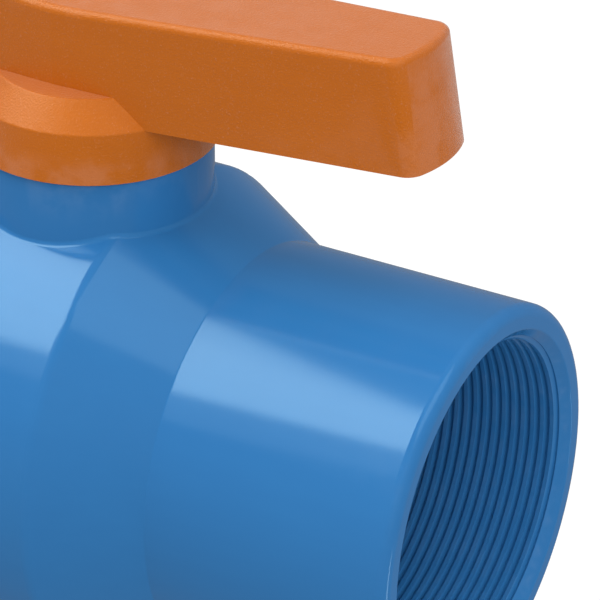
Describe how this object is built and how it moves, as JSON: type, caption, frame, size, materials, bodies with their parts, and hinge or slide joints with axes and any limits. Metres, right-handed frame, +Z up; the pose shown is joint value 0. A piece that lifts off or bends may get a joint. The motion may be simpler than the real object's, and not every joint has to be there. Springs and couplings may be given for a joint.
{
  "type": "ball valve",
  "caption": "Quarter-turn plastic ball valve with two internally threaded pipe sockets, a rounded barrel and a two-armed lever handle.",
  "frame": {"origin": "centre of the ball, where the flow axis crosses the stem axis", "axes": "+X along the flow axis towards the right-hand socket, +Z up along the stem towards the handle, +Y across, away from the front"},
  "size_m": [0.191, 0.112, 0.1595],
  "materials": {
    "body_blue": "gloss",
    "handle_orange": "satin",
    "ball_white": "gloss",
    "internal_grey": "satin",
    "seat_white": "satin",
    "seal_black": "matte",
    "screw_steel": "satin"
  },
  "bodies": {
    "body": {"valve_body": "body_blue", "end_connector": "body_blue", "body_o_ring": "seal_black", "seat_carrier_right": "internal_grey", "seat_carrier_left": "internal_grey", "carrier_o_ring_right": "seal_black", "carrier_o_ring_left": "seal_black", "seat_ring_right": "seat_white", "seat_ring_left": "seat_white", "seat_cushion_right": "seal_black", "seat_cushion_left": "seal_black", "stem_thrust_washer": "seat_white"},
    "handle": {"handle": "handle_orange", "handle_screw": "screw_steel", "screw_washer": "screw_steel", "handle_cap": "handle_orange", "stem": "internal_grey", "stem_o_ring_lower": "seal_black", "stem_o_ring_upper": "seal_black"},
    "ball": {"ball": "ball_white"}
  },
  "joints": [
    {"name": "handle_turn", "type": "hinge", "parent": "body", "child": "handle", "pos_m": [0, 0, 0.065], "axis": [0, 0, 1], "range_deg": [-90, 0]},
    {"name": "ball_turn", "type": "hinge", "parent": "body", "child": "ball", "pos_m": [0, 0, 0], "axis": [0, 0, 1], "range_deg": [-90, 0]}
  ],
  "couplings": [
    {"joint": "ball_turn", "follows": "handle_turn", "ratio": 1}
  ]
}
